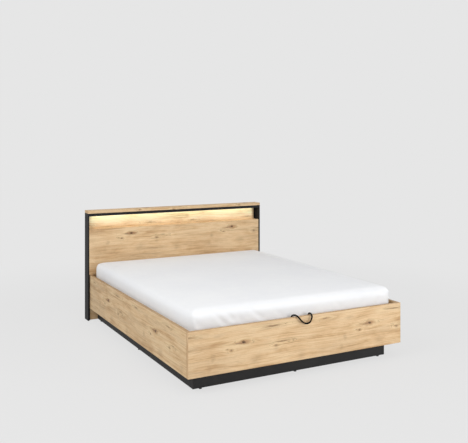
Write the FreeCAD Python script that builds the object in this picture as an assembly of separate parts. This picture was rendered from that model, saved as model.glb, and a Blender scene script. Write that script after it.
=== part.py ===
import FreeCAD, Part
import math
import os

# Ottoman bed with a lit headboard. X runs across the bed, Y from foot to head, Z up.
# The origin is the middle of the floor rectangle under the whole bed, sizes in millimetres.

Vector = FreeCAD.Vector
os.makedirs("parts", exist_ok=True)

# Mattress and the room around it
mattress_width = 1600.0
mattress_length = 1996.0
mattress_height = 207.0
mattress_corner = 40.0
mattress_shoulder = 40.0
mattress_hem = 28.0
mattress_draw_in = 3.0
mattress_crown = 5.0
side_gap = 18.0
foot_gap = 16.0
head_gap = 15.0

# Boards of the box
board = 22.0
rail_bottom = 106.0
rail_height = 288.0
edge_break = 0.8
floor_board = 12.0
batten_width = 20.0
batten_height = 12.0
floor_clear = 1.0

# Plinth
plinth_board = 16.0
plinth_side_inset = 74.0
plinth_foot_inset = 92.0
glide_height = 6.0
glide_radius = 10.0
glide_end_inset = 48.0

# Headboard
headboard_height = 950.0
headboard_overhang = 18.0
headboard_depth = 82.0
top_board = 24.0
top_rail = 24.0
panel = 16.0
panel_reveal = 11.0
panel_gap = 2.0
niche_height = 112.0
panel_floor_gap = 5.0
lower_panel_rise = 54.0
spacer_width = 50.0
spacer_pitch = 420.0

# Light in the headboard niche
profile_width = 16.0
profile_height = 7.0
profile_wall = 1.5
profile_back_gap = 6.0
profile_end_gap = 36.0
tape_width = 10.0
tape_thickness = 1.5
diffuser_thickness = 2.0
diffuser_clear = 0.1
driver_length = 160.0
driver_depth = 28.0
driver_height = 44.0
driver_ledge_gap = 90.0
driver_side_gap = 36.0
inlet_width = 30.0
inlet_height = 22.0
inlet_bore = 5.5
inlet_pin = 1.2
inlet_depth = 11.0
inlet_floor = 4.0
lead_diameter = 3.0
lead_wall_gap = 8.5
lead_exit = 18.0
lead_bend_share = 0.6
lead_hole_clear = 0.6
clip_width = 7.0
clip_depth = 10.0
clip_pitch = 34.0
clip_count = 2

# Platform frame and slats
slat_top = 305.0
slat_thickness = 8.0
slat_width = 53.0
slat_edge = 1.5
slat_inner_gap = 10.0
slat_end_inset = 7.0
slats_per_side = 14
holder_base = 2.0
holder_wall = 2.5
holder_lip_drop = 0.5
holder_clear = 0.4
holder_overlap = 2.0
tube_width = 40.0
tube_height = 25.0
tube_wall = 1.5
centre_tube_width = 50.0
frame_foot_gap = 22.0
frame_head_gap = 37.0
stop_width = 120.0
stop_spacing = 720.0
stop_thickness = 3.0
stop_height = 58.0
stop_gap = 1.0
stop_drop = 5.0
seat_clear = 0.3

# Lift mechanism: thicknesses stacked inwards from the rail
base_plate = 4.0
arm_plate = 5.0
bracket_plate = 4.0
layer_gap = 1.0
arm_half_width = 17.0
pin_radius = 6.0
collar_radius = 9.0
pin_clear = 0.05
free_pivot_clear = 1.0
cap_thickness = 2.0

# Lift mechanism: pivot places, ahead of the headboard and up from the floor
main_pivot_ahead = 1040.0
main_pivot_up = 228.0
rear_pivot_ahead = 840.0
rear_pivot_up = 325.0
strut_pivot_ahead = 1007.0
strut_pivot_up = 148.0
main_stud_ahead = 572.0
main_stud_up = 258.0
rear_stud_ahead = 511.0
rear_stud_up = 314.0
strut_stud_ahead = 679.0
strut_stud_up = 152.0
base_margin = 24.0
base_corner = 12.0
bracket_lug_radius = 14.0
bracket_lug_foot = 68.0
bracket_lug_head = 66.0

# Gas strut
strut_radius = 11.0
strut_wall = 2.0
strut_rod_radius = 5.0
strut_rest_gap = 22.0
strut_rod_start = 41.0
strut_eye_radius = 10.0
strut_eye_width = 12.0
strut_pin_radius = 4.0
strut_side_gap = 2.0
strut_gland_clear = 0.6
strut_gland = 12.0
strut_piston = 10.0
strut_piston_clear = 0.6
strut_floor = 6.0

# Screws, bolts and corner brackets
screw_shank = 2.0
screw_head = 4.5
screw_sink = 2.5
screw_depth = 16.0
wood_screw_length = 38.0
bolt_radius = 3.0
bolt_head = 5.5
bolt_head_height = 3.0
bolt_nut = 5.0
corner_leg = 60.0
corner_steel = 3.0
corner_height = 200.0
corner_bottom = 150.0
corner_screw_inset = 16.0
rest_width = 38.0
rest_length = 80.0
rest_height = 38.0
rest_foot_gap = 78.0
rest_head_gap = 125.0

# Pull cord and the tab that it is knotted under
cord_diameter = 9.0
cord_left = -84.0
cord_right = 64.0
cord_back = 32.0
cord_hole_clear = 0.4
knot_radius = 7.5
knot_sink_share = 0.8
tab_thickness = 3.0
tab_margin = 20.0
tab_front_gap = 2.0
tab_drop = 6.0

bend_share = 0.45
overrun = 1.0

# Places worked out from the sizes above
inner_half = mattress_width / 2 + side_gap
box_half = inner_half + board
box_length = board + foot_gap + mattress_length + head_gap
overall_length = box_length + panel + headboard_depth
foot_face = -overall_length / 2
foot_inner = foot_face + board
mattress_foot = foot_inner + foot_gap
mattress_head = mattress_foot + mattress_length
panel_face = mattress_head + head_gap
post_face = panel_face + panel
rear_face = post_face + headboard_depth
rail_top = rail_bottom + rail_height
head_half = box_half + headboard_overhang
post_inner = head_half - board
top_rail_bottom = headboard_height - top_board - top_rail
ledge_top = top_rail_bottom - niche_height
back_face = rear_face - panel
floor_bottom = rail_bottom + batten_height
floor_top = floor_bottom + floor_board
plinth_half = box_half - plinth_side_inset
plinth_inner = plinth_half - plinth_board
plinth_foot = foot_face + plinth_foot_inset
plinth_back = post_face - batten_width - plinth_board
base_face = inner_half - base_plate
rear_arm_outer = base_face - layer_gap
rear_arm_inner = rear_arm_outer - arm_plate
main_arm_outer = rear_arm_inner - layer_gap
main_arm_inner = main_arm_outer - arm_plate
bracket_outer = main_arm_inner - layer_gap
bracket_inner = bracket_outer - bracket_plate
strut_centre = bracket_inner - strut_side_gap - strut_radius
slat_bottom = slat_top - slat_thickness
tube_top = slat_bottom - holder_base
tube_bottom = tube_top - tube_height
frame_foot = foot_inner + frame_foot_gap
frame_head = panel_face - frame_head_gap
tab_top = tube_top - tab_drop
tab_bottom = tab_top - tab_thickness
cord_line = foot_face + cord_back


def save(name, *solids):
    shape = solids[0] if len(solids) == 1 else Part.makeCompound(list(solids))
    shape.exportStep("parts/" + name + ".step")


def block(x0, x1, y0, y1, z0, z1):
    return Part.makeBox(x1 - x0, y1 - y0, z1 - z0, Vector(x0, y0, z0))


# A board with its edges broken a little, as cut and banded panels have them.
def plank(x0, x1, y0, y1, z0, z1, softness=edge_break):
    solid = block(x0, x1, y0, y1, z0, z1)
    return solid.makeChamfer(softness, solid.Edges)


def mirrored(shape):
    return shape.mirror(Vector(0, 0, 0), Vector(1, 0, 0))


def rod_x(x0, x1, y, z, radius):
    return Part.makeCylinder(radius, x1 - x0, Vector(x0, y, z), Vector(1, 0, 0))


def cut_all(shape, tools):
    return shape.cut(Part.makeCompound(list(tools)))


# A plate whose outline runs round equal circles at the given (y, z) points, listed anticlockwise.
def link_plate(points, radius, x0, x1):
    count = len(points)
    normals = []
    for index in range(count):
        start = points[index]
        end = points[(index + 1) % count]
        length = math.hypot(end[0] - start[0], end[1] - start[1])
        normals.append(((end[1] - start[1]) / length, -(end[0] - start[0]) / length))

    def on_circle(point, direction):
        return Vector(x0, point[0] + radius * direction[0], point[1] + radius * direction[1])

    edges = []
    for index in range(count):
        start = points[index]
        end = points[(index + 1) % count]
        here = normals[index]
        after = normals[(index + 1) % count]
        turn = math.atan2(after[1], after[0]) - math.atan2(here[1], here[0])
        turn = turn % (2 * math.pi)
        middle = math.atan2(here[1], here[0]) + turn / 2
        halfway = (math.cos(middle), math.sin(middle))
        edges.append(Part.LineSegment(on_circle(start, here), on_circle(end, here)).toShape())
        edges.append(Part.Arc(on_circle(end, here), on_circle(end, halfway), on_circle(end, after)).toShape())
    face = Part.Face(Part.Wire(edges))
    return face.extrude(Vector(x1 - x0, 0, 0))


# A countersunk screw, its head flush at the start point.
def flush_screw(start, direction, length, shank=screw_shank, head=screw_head, sink=screw_sink):
    cone = Part.makeCone(head, shank, sink, start, direction)
    return cone.fuse(Part.makeCylinder(shank, length, start, direction)).removeSplitter()


# A closed outline with round corners at one height.
def rounded_outline(half_width, y0, y1, z, corner):
    x0, x1 = -half_width, half_width
    slack = corner * (1 - math.sqrt(0.5))
    line = Part.LineSegment
    edges = []
    edges.append(line(Vector(x0 + corner, y0, z), Vector(x1 - corner, y0, z)).toShape())
    edges.append(Part.Arc(Vector(x1 - corner, y0, z), Vector(x1 - slack, y0 + slack, z),
                          Vector(x1, y0 + corner, z)).toShape())
    edges.append(line(Vector(x1, y0 + corner, z), Vector(x1, y1 - corner, z)).toShape())
    edges.append(Part.Arc(Vector(x1, y1 - corner, z), Vector(x1 - slack, y1 - slack, z),
                          Vector(x1 - corner, y1, z)).toShape())
    edges.append(line(Vector(x1 - corner, y1, z), Vector(x0 + corner, y1, z)).toShape())
    edges.append(Part.Arc(Vector(x0 + corner, y1, z), Vector(x0 + slack, y1 - slack, z),
                          Vector(x0, y1 - corner, z)).toShape())
    edges.append(line(Vector(x0, y1 - corner, z), Vector(x0, y0 + corner, z)).toShape())
    edges.append(Part.Arc(Vector(x0, y0 + corner, z), Vector(x0 + slack, y0 + slack, z),
                          Vector(x0 + corner, y0, z)).toShape())
    return Part.Wire(edges)


# A round tube along straight runs joined by tangent arcs, each arc as large as its runs allow.
def tube_along(points, diameter, name):
    corners = [Vector(*point) for point in points]
    edges = []
    radii = []
    start = corners[0]
    for index in range(1, len(corners) - 1):
        corner = corners[index]
        back = corners[index - 1] - corner
        ahead = corners[index + 1] - corner
        run = min(back.Length, ahead.Length)
        back.normalize()
        ahead.normalize()
        turn = math.pi - back.getAngle(ahead)
        trim = bend_share * run
        radius = trim / math.tan(turn / 2)
        radii.append(round(radius / diameter, 1))
        enter = corner + back * trim
        leave = corner + ahead * trim
        bisector = back + ahead
        bisector.normalize()
        reach = radius / math.cos(turn / 2) - radius
        edges.append(Part.LineSegment(start, enter).toShape())
        edges.append(Part.Arc(enter, corner + bisector * reach, leave).toShape())
        start = leave
    edges.append(Part.LineSegment(start, corners[-1]).toShape())
    path = Part.Wire(edges)
    direction = corners[1] - corners[0]
    circle = Part.Wire([Part.Circle(corners[0], direction, diameter / 2).toShape()])
    tube = path.makePipeShell([circle], True, False)
    section = math.pi * diameter * diameter / 4
    print(name, "length", round(path.Length, 1), "volume over section times length",
          round(tube.Volume / (section * path.Length), 4), "radii in diameters", radii)
    return tube


def make_mattress():
    bottom = slat_top + seat_clear
    top = slat_top + mattress_height
    shoulder_top = top - mattress_crown
    waist = bottom + (shoulder_top - bottom) / 2
    upper = shoulder_top - mattress_shoulder
    # inset from the outline and height of each ring, from the underside to the shoulder
    rings = [(mattress_hem, bottom), (0, bottom + mattress_hem), (mattress_draw_in, waist), (0, upper)]
    for share in (0.35, 0.7, 1.0):
        angle = share * math.pi / 2
        inset = mattress_shoulder * (1 - math.cos(angle))
        rings.append((inset, upper + mattress_shoulder * math.sin(angle)))

    def ring(inset, height):
        corner = max(mattress_corner - inset, mattress_corner / 3)
        return rounded_outline(mattress_width / 2 - inset, mattress_foot + inset, mattress_head - inset,
                               height, corner)

    sides = Part.makeLoft([ring(*place) for place in rings], True, True)
    # the top rises to a low crown in three easy steps
    crown_rings = [ring(mattress_shoulder, shoulder_top)]
    for reach_share, rise_share in ((0.12, 0.45), (0.3, 0.8), (0.55, 1.0)):
        inset = mattress_shoulder + reach_share * (mattress_width / 2 - mattress_shoulder)
        crown_rings.append(ring(inset, shoulder_top + rise_share * mattress_crown))
    crown = Part.makeLoft(crown_rings, True, True)
    return sides.fuse(crown).removeSplitter()


# Headboard
def make_headboard(corner_screws):
    screws = []
    spacers = []
    for column in (-1, 0, 1):
        centre = column * spacer_pitch
        spacers.append(plank(centre - spacer_width / 2, centre + spacer_width / 2, post_face, back_face,
                             rail_top + lower_panel_rise, ledge_top - panel))
        for height_share in (0.2, 0.8):
            low = rail_top + lower_panel_rise
            height = low + height_share * (ledge_top - panel - low)
            screws.append(flush_screw(Vector(centre, rear_face, height), Vector(0, -1, 0), wood_screw_length))
        screws.append(flush_screw(Vector(centre, rear_face, ledge_top - panel / 2), Vector(0, -1, 0),
                                  wood_screw_length))

    driver_x1 = post_inner - driver_side_gap
    driver_x0 = driver_x1 - driver_length
    driver_top = ledge_top - panel - driver_ledge_gap
    driver_bottom = driver_top - driver_height
    driver_middle = (driver_top + driver_bottom) / 2
    driver_face = back_face - driver_depth
    inlet_x = (driver_x0 + driver_x1) / 2
    inlet_box = (inlet_x - inlet_width / 2, inlet_x + inlet_width / 2,
                 driver_middle - inlet_height / 2, driver_middle + inlet_height / 2)

    back = plank(-post_inner, post_inner, back_face, rear_face, panel_floor_gap, top_rail_bottom)
    back = back.cut(block(inlet_box[0], inlet_box[1], back_face - overrun, rear_face + overrun,
                          inlet_box[2], inlet_box[3]))
    ledge = plank(-post_inner, post_inner, post_face, back_face, ledge_top - panel, ledge_top)
    lead_x = post_inner - lead_wall_gap
    lead_y = back_face - driver_depth / 2
    ledge = ledge.cut(Part.makeCylinder(lead_diameter / 2 + lead_hole_clear, panel + 2 * overrun,
                                        Vector(lead_x, lead_y, ledge_top - panel - overrun)))

    # each side is rebated along its front edge for the front panel, and above it as deep as the niche
    front_half = head_half - panel_reveal
    for side, name in ((-1, "left"), (1, "right")):
        x0, x1 = sorted((side * post_inner, side * head_half))
        board_side = plank(x0, x1, panel_face, rear_face, 0, top_rail_bottom)
        x0, x1 = sorted((side * (post_inner - overrun), side * front_half))
        rebate = block(x0, x1, panel_face - overrun, post_face, -overrun, top_rail_bottom + overrun)
        recess = block(x0, x1, panel_face - overrun, back_face, ledge_top, top_rail_bottom + overrun)
        save("headboard_" + name + "_side", board_side.cut(rebate).cut(recess))
    save("headboard_top_board", plank(-head_half, head_half, panel_face, rear_face,
                                      headboard_height - top_board, headboard_height))
    save("headboard_top_rail", plank(-head_half, head_half, panel_face, rear_face,
                                     top_rail_bottom, headboard_height - top_board))
    save("headboard_back_panel", cut_all(back, screws))
    save("headboard_ledge", cut_all(ledge, screws))
    save("headboard_front_panel", plank(-front_half, front_half, panel_face, post_face,
                                        rail_top + panel_gap, ledge_top))
    lower = plank(-post_inner, post_inner, post_face, post_face + panel, panel_floor_gap,
                  rail_top + lower_panel_rise)
    save("headboard_lower_panel", cut_all(lower, corner_screws))
    save("headboard_spacers", *[cut_all(spacer, screws) for spacer in spacers])
    save("headboard_screws", *screws)

    # light: an aluminium channel under the rail, a tape in it and a milky cover over it
    profile_y1 = back_face - profile_back_gap
    profile_y0 = profile_y1 - profile_width
    profile_half = post_inner - profile_end_gap
    profile_bottom = top_rail_bottom - profile_height
    groove_top = top_rail_bottom - profile_wall
    profile = block(-profile_half, profile_half, profile_y0, profile_y1, profile_bottom, top_rail_bottom)
    groove = block(-profile_half - overrun, profile_half + overrun, profile_y0 + profile_wall,
                   profile_y1 - profile_wall, profile_bottom - overrun, groove_top)
    save("light_profile", profile.cut(groove))
    tape_y = (profile_y0 + profile_y1) / 2
    save("light_tape", block(-profile_half, profile_half, tape_y - tape_width / 2, tape_y + tape_width / 2,
                             groove_top - tape_thickness, groove_top))
    save("light_diffuser", block(-profile_half, profile_half, profile_y0 + profile_wall + diffuser_clear,
                                 profile_y1 - profile_wall - diffuser_clear, profile_bottom,
                                 profile_bottom + diffuser_thickness))

    driver = block(driver_x0, driver_x1, driver_face, back_face, driver_bottom, driver_top)
    save("light_driver", driver.makeChamfer(profile_wall, driver.Edges))
    inlet = block(inlet_box[0], inlet_box[1], back_face, rear_face, inlet_box[2], inlet_box[3])
    inlet_mouth = Vector(inlet_x, rear_face, driver_middle)
    bore = Part.makeCylinder(inlet_bore, inlet_depth, inlet_mouth, Vector(0, -1, 0))
    inlet_pin_start = Vector(inlet_x, back_face + inlet_floor, driver_middle)
    pin = Part.makeCylinder(inlet_pin, panel - 2 * inlet_floor, inlet_pin_start, Vector(0, 1, 0))
    save("light_inlet", inlet.cut(bore).fuse(pin).removeSplitter())

    # the lead leaves the driver's end, climbs the corner of the niche and ends at the channel
    lead_z = profile_bottom + profile_height / 2
    lead_points = [
        (driver_x1, lead_y, driver_middle),
        (driver_x1 + lead_bend_share * lead_exit, lead_y, driver_middle),
        (lead_x, lead_y, driver_middle + lead_exit),
        (lead_x, lead_y, lead_z),
        (profile_half, tape_y, lead_z),
    ]
    save("light_lead", tube_along(lead_points, lead_diameter, "light_lead"))
    clips = []
    for index in range(clip_count):
        height = ledge_top - panel - (index + 1) * clip_pitch
        clip = block(lead_x - lead_diameter, post_inner, lead_y - clip_depth / 2, lead_y + clip_depth / 2,
                     height - clip_width / 2, height + clip_width / 2)
        bore = Part.makeCylinder(lead_diameter / 2 + diffuser_clear, clip_width + 2 * overrun,
                                 Vector(lead_x, lead_y, height - clip_width / 2 - overrun))
        clips.append(clip.cut(bore))
    save("lead_clips", *clips)


# Box: rails, footboard, plinth, floor and the steel angles in its corners
def make_box(base_screws):
    angles = []
    screws = []
    for side in (-1, 1):
        for y_wall, inward in ((foot_inner, 1), (post_face, -1)):
            x_wall = side * inner_half
            leg_x = sorted((x_wall, x_wall - side * corner_leg))
            leg_y = sorted((y_wall, y_wall + inward * corner_leg))
            thin_x = sorted((x_wall, x_wall - side * corner_steel))
            thin_y = sorted((y_wall, y_wall + inward * corner_steel))
            corner_top = corner_bottom + corner_height
            angle = block(thin_x[0], thin_x[1], leg_y[0], leg_y[1], corner_bottom, corner_top)
            angle = angle.fuse(block(leg_x[0], leg_x[1], thin_y[0], thin_y[1], corner_bottom, corner_top))
            own = []
            for height in (corner_bottom + corner_screw_inset, corner_top - corner_screw_inset):
                face_x = x_wall - side * corner_steel
                face_y = y_wall + inward * corner_steel
                along = corner_leg - corner_screw_inset
                own.append(flush_screw(Vector(face_x, y_wall + inward * along, height),
                                       Vector(side, 0, 0), screw_depth))
                own.append(flush_screw(Vector(x_wall - side * along, face_y, height),
                                       Vector(0, -inward, 0), screw_depth - corner_steel))
            angles.append(cut_all(angle.removeSplitter(), own))
            screws.extend(own)
    save("corner_angles", *angles)
    save("box_screws", *screws, *base_screws)

    holes = screws + base_screws
    rail = plank(inner_half, box_half, foot_inner, post_face, rail_bottom, rail_top)
    save("side_rail_right", cut_all(rail, holes))
    save("side_rail_left", cut_all(mirrored(rail), holes))
    footboard = plank(-box_half, box_half, foot_face, foot_inner, rail_bottom, rail_top)
    save("footboard", cut_all(footboard, screws))

    for side, name in ((-1, "left"), (1, "right")):
        x0, x1 = sorted((side * plinth_inner, side * plinth_half))
        save("plinth_" + name, plank(x0, x1, plinth_foot, post_face, glide_height, floor_bottom))
    save("plinth_front", plank(-plinth_inner, plinth_inner, plinth_foot, plinth_foot + plinth_board,
                               glide_height, floor_bottom))
    save("plinth_back", plank(-plinth_inner, plinth_inner, plinth_back, plinth_back + plinth_board,
                              glide_height, floor_bottom))
    save("centre_beam", plank(-plinth_board / 2, plinth_board / 2, plinth_foot + plinth_board, plinth_back,
                              glide_height, floor_bottom))

    floor_foot = foot_inner + floor_clear
    floor_head = post_face - floor_clear
    floor_middle = (floor_foot + floor_head) / 2
    floor_half = inner_half - floor_clear
    for name, y0, y1 in (("foot", floor_foot, floor_middle), ("head", floor_middle, floor_head)):
        save("floor_panel_" + name, plank(-floor_half, floor_half, y0, y1, floor_bottom, floor_top))
    batten_end = inner_half - batten_width
    side_batten = block(batten_end, inner_half, foot_inner, post_face, rail_bottom, floor_bottom)
    foot_batten = block(-batten_end, batten_end, foot_inner, foot_inner + batten_width,
                        rail_bottom, floor_bottom)
    head_batten = block(-plinth_inner, plinth_inner, post_face - batten_width, post_face,
                        rail_bottom, floor_bottom)
    save("floor_battens", side_batten, mirrored(side_batten), foot_batten, head_batten)

    glides = []
    side_line = plinth_half - plinth_board / 2
    foot_line = plinth_foot + plinth_board / 2
    middle_line = (plinth_foot + plinth_back) / 2
    head_line = plinth_back - glide_end_inset
    places = [(side * side_line, line) for side in (-1, 0, 1) for line in (middle_line, head_line)]
    places += [(side * (side_line - glide_end_inset), foot_line) for side in (-1, 1)] + [(0, foot_line)]
    for x, y in places:
        glides.append(Part.makeCylinder(glide_radius, glide_height, Vector(x, y, 0)))
    save("glide_feet", *glides)

    rests = []
    for y0 in (foot_inner + rest_foot_gap, post_face - rest_head_gap - rest_length):
        rest = plank(inner_half - rest_width, inner_half, y0, y0 + rest_length,
                     tube_bottom - seat_clear - rest_height, tube_bottom - seat_clear)
        rests.extend((rest, mirrored(rest)))
    save("platform_rests", *rests)
    return screws


# Lift mechanism. The right side is drawn and mirrored for the left.
def make_lift():
    def place(ahead, height):
        return (post_face - ahead, height)

    main_pivot = place(main_pivot_ahead, main_pivot_up)
    rear_pivot = place(rear_pivot_ahead, rear_pivot_up)
    strut_pivot = place(strut_pivot_ahead, strut_pivot_up)
    main_stud = place(main_stud_ahead, main_stud_up)
    rear_stud = place(rear_stud_ahead, rear_stud_up)
    strut_stud = place(strut_stud_ahead, strut_stud_up)

    def hole(point, radius):
        return rod_x(bracket_inner - overrun, inner_half + overrun, point[0], point[1], radius)

    # base plate with its three pivots
    low_y = main_pivot[0] - base_margin - base_corner
    high_y = rear_pivot[0] + base_margin
    low_z = floor_top + floor_clear + base_corner
    high_z = rear_pivot[1] + base_margin / 2
    corners = [(low_y, low_z), (high_y, low_z), (high_y, high_z), (rear_pivot[0] - base_margin, high_z),
               (low_y, main_pivot[1] + base_margin)]
    base = link_plate(corners, base_corner, base_face, inner_half)
    base_screws = []
    screw_places = [corners[0], corners[1], corners[2], corners[4], ((low_y + high_y) / 2, low_z)]
    for y, z in screw_places:
        base_screws.append(flush_screw(Vector(base_face, y, z), Vector(1, 0, 0), screw_depth))
    base = cut_all(base, base_screws + [hole(main_pivot, pin_radius), hole(rear_pivot, pin_radius),
                                        hole(strut_pivot, pin_radius)])

    # pins on the base: each has a collar that spaces its arm off the plate
    main_pin = rod_x(main_arm_inner, inner_half, main_pivot[0], main_pivot[1], pin_radius)
    main_pin = main_pin.fuse(rod_x(main_arm_outer, base_face, main_pivot[0], main_pivot[1], collar_radius))
    main_pin = main_pin.fuse(rod_x(main_arm_inner - cap_thickness, main_arm_inner - pin_clear, main_pivot[0],
                                   main_pivot[1], collar_radius))
    main_pin = main_pin.fuse(rod_x(main_arm_inner - pin_clear, main_arm_inner, main_pivot[0],
                                   main_pivot[1], pin_radius))
    rear_pin = rod_x(rear_arm_inner, inner_half, rear_pivot[0], rear_pivot[1], pin_radius)
    rear_pin = rear_pin.fuse(rod_x(rear_arm_outer, base_face, rear_pivot[0], rear_pivot[1], collar_radius))
    eye_inner = strut_centre - strut_eye_width / 2
    eye_outer = strut_centre + strut_eye_width / 2
    strut_pin = rod_x(base_face, inner_half, strut_pivot[0], strut_pivot[1], pin_radius)
    strut_pin = strut_pin.fuse(rod_x(eye_outer, base_face, strut_pivot[0], strut_pivot[1], pin_radius))
    strut_pin = strut_pin.fuse(rod_x(eye_inner, eye_outer, strut_pivot[0], strut_pivot[1],
                                     strut_pin_radius))
    strut_pin = strut_pin.fuse(rod_x(eye_inner - cap_thickness, eye_inner - pin_clear, strut_pivot[0],
                                     strut_pivot[1], pin_radius))
    strut_pin = strut_pin.fuse(rod_x(eye_inner - pin_clear, eye_inner, strut_pivot[0],
                                     strut_pivot[1], strut_pin_radius))
    base_pins = [pin.removeSplitter() for pin in (main_pin, rear_pin, strut_pin)]

    # main arm, the lower bar of each side
    main_arm = link_plate([main_pivot, main_stud], arm_half_width, main_arm_inner, main_arm_outer)
    running = pin_radius + pin_clear
    main_arm = cut_all(main_arm, [hole(main_pivot, running), hole(main_stud, running)])

    # rear arm, a bell crank: one end carries the platform, the lower end takes the gas strut
    rear_arm = link_plate([strut_stud, rear_stud, rear_pivot], arm_half_width, rear_arm_inner, rear_arm_outer)
    centre_y = (rear_pivot[0] + rear_stud[0] + strut_stud[0]) / 3
    centre_z = (rear_pivot[1] + rear_stud[1] + strut_stud[1]) / 3
    shrink_share = 0.42
    inner_corners = []
    for y, z in (strut_stud, rear_stud, rear_pivot):
        inner_corners.append((centre_y + (y - centre_y) * shrink_share,
                              centre_z + (z - centre_z) * shrink_share))
    window = link_plate(inner_corners, base_corner / 2, rear_arm_inner - overrun, rear_arm_outer + overrun)
    rear_arm = rear_arm.cut(window)
    rear_arm = cut_all(rear_arm, [hole(rear_pivot, running), hole(strut_stud, pin_radius),
                                  hole(rear_stud, pin_radius + free_pivot_clear)])
    stud = rod_x(rear_arm_inner, rear_arm_outer, strut_stud[0], strut_stud[1], pin_radius)
    stud = stud.fuse(rod_x(eye_outer, rear_arm_inner, strut_stud[0], strut_stud[1], pin_radius))
    stud = stud.fuse(rod_x(eye_inner, eye_outer, strut_stud[0], strut_stud[1], strut_pin_radius))
    stud = stud.fuse(rod_x(eye_inner - cap_thickness, eye_inner - pin_clear, strut_stud[0], strut_stud[1],
                           pin_radius))
    stud = stud.fuse(rod_x(eye_inner - pin_clear, eye_inner, strut_stud[0], strut_stud[1],
                           strut_pin_radius)).removeSplitter()

    # bracket on the platform frame, with its two pins and its bolts
    tube_middle = (tube_top + tube_bottom) / 2
    foot_lug = (main_stud[0] - bracket_lug_foot, tube_middle)
    head_lug = (rear_stud[0] + bracket_lug_head, tube_middle)
    bracket = link_plate([foot_lug, main_stud, head_lug, rear_stud], bracket_lug_radius,
                         bracket_inner, bracket_outer)
    front_pin = rod_x(bracket_inner, main_arm_outer, main_stud[0], main_stud[1], pin_radius)
    front_pin = front_pin.fuse(rod_x(bracket_outer, main_arm_inner - pin_clear, main_stud[0], main_stud[1],
                                     collar_radius)).removeSplitter()
    far_pin = rod_x(bracket_inner, rear_arm_outer, rear_stud[0], rear_stud[1], pin_radius)
    far_pin = far_pin.fuse(rod_x(bracket_outer, rear_arm_inner - layer_gap / 2, rear_stud[0], rear_stud[1],
                                 collar_radius)).removeSplitter()
    bolts = []
    nuts = []
    for y, z in (foot_lug, head_lug):
        bolt = rod_x(bracket_outer, bracket_outer + bolt_head_height, y, z, bolt_head)
        bolt = bolt.fuse(rod_x(bracket_inner - tube_wall - bolt_nut, bracket_outer, y, z, bolt_radius))
        bolts.append(bolt.removeSplitter())
        nut = rod_x(bracket_inner - tube_wall - bolt_nut, bracket_inner - tube_wall, y, z, bolt_head)
        nuts.append(nut.cut(bolts[-1]))
    bracket = cut_all(bracket, bolts + [hole(main_stud, pin_radius), hole(rear_stud, pin_radius)])

    # gas strut, drawn level from its lower eye and then turned onto its line
    line_y = strut_stud[0] - strut_pivot[0]
    line_z = strut_stud[1] - strut_pivot[1]
    closed_length = math.hypot(line_y, line_z)
    tilt = math.degrees(math.atan2(line_z, line_y))
    turn_axis = Vector(1, 0, 0)
    pivot_point = Vector(strut_centre, strut_pivot[0], strut_pivot[1])

    def along(start, length, radius):
        return Part.makeCylinder(radius, length, Vector(strut_centre, strut_pivot[0] + start, strut_pivot[1]),
                                 Vector(0, 1, 0))

    def eye(distance):
        return rod_x(eye_inner, eye_outer, strut_pivot[0] + distance, strut_pivot[1], strut_eye_radius)

    def eye_hole(distance):
        return rod_x(eye_inner - overrun, eye_outer + overrun, strut_pivot[0] + distance, strut_pivot[1],
                     strut_pin_radius + pin_clear)

    bore_start = strut_eye_radius + strut_floor
    tube_end = closed_length - strut_eye_radius - strut_rest_gap
    tube = along(strut_eye_radius / 2, tube_end - strut_eye_radius / 2, strut_radius)
    tube = tube.common(block(strut_centre - strut_radius, strut_centre + strut_radius,
                             strut_pivot[0] + strut_eye_radius, strut_pivot[0] + tube_end,
                             strut_pivot[1] - strut_radius, strut_pivot[1] + strut_radius))
    neck = along(strut_eye_radius / 2, strut_eye_radius, strut_eye_width / 2)
    tube = tube.fuse(neck).fuse(eye(0)).cut(eye_hole(0))
    tube = tube.cut(along(bore_start, tube_end - bore_start - strut_gland, strut_radius - strut_wall))
    tube = tube.cut(along(bore_start, tube_end, strut_rod_radius + strut_gland_clear)).removeSplitter()
    rod_end = closed_length - strut_eye_radius / 2
    rod = along(strut_rod_start, rod_end - strut_rod_start, strut_rod_radius)
    piston = along(strut_rod_start, strut_piston, strut_radius - strut_wall - strut_piston_clear)
    rod = rod.fuse(piston).fuse(eye(closed_length)).cut(eye_hole(closed_length)).removeSplitter()
    for solid in (tube, rod):
        solid.rotate(pivot_point, turn_axis, tilt)

    pairs = [
        ("lift_base", base), ("main_arm", main_arm), ("rear_arm", rear_arm), ("platform_bracket", bracket),
        ("strut_tube", tube), ("strut_rod", rod),
    ]
    for name, solid in pairs:
        save(name + "_right", solid)
        save(name + "_left", mirrored(solid))
    groups = [("base_pins", base_pins), ("strut_studs", [stud]), ("bracket_pins", [front_pin, far_pin]),
              ("bracket_bolts", bolts + nuts)]
    for name, solids in groups:
        save(name, *solids, *[mirrored(solid) for solid in solids])
    print("strut closed length", round(closed_length, 1), "tilt", round(tilt, 2))
    return base_screws + [mirrored(screw) for screw in base_screws], bolts


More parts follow.
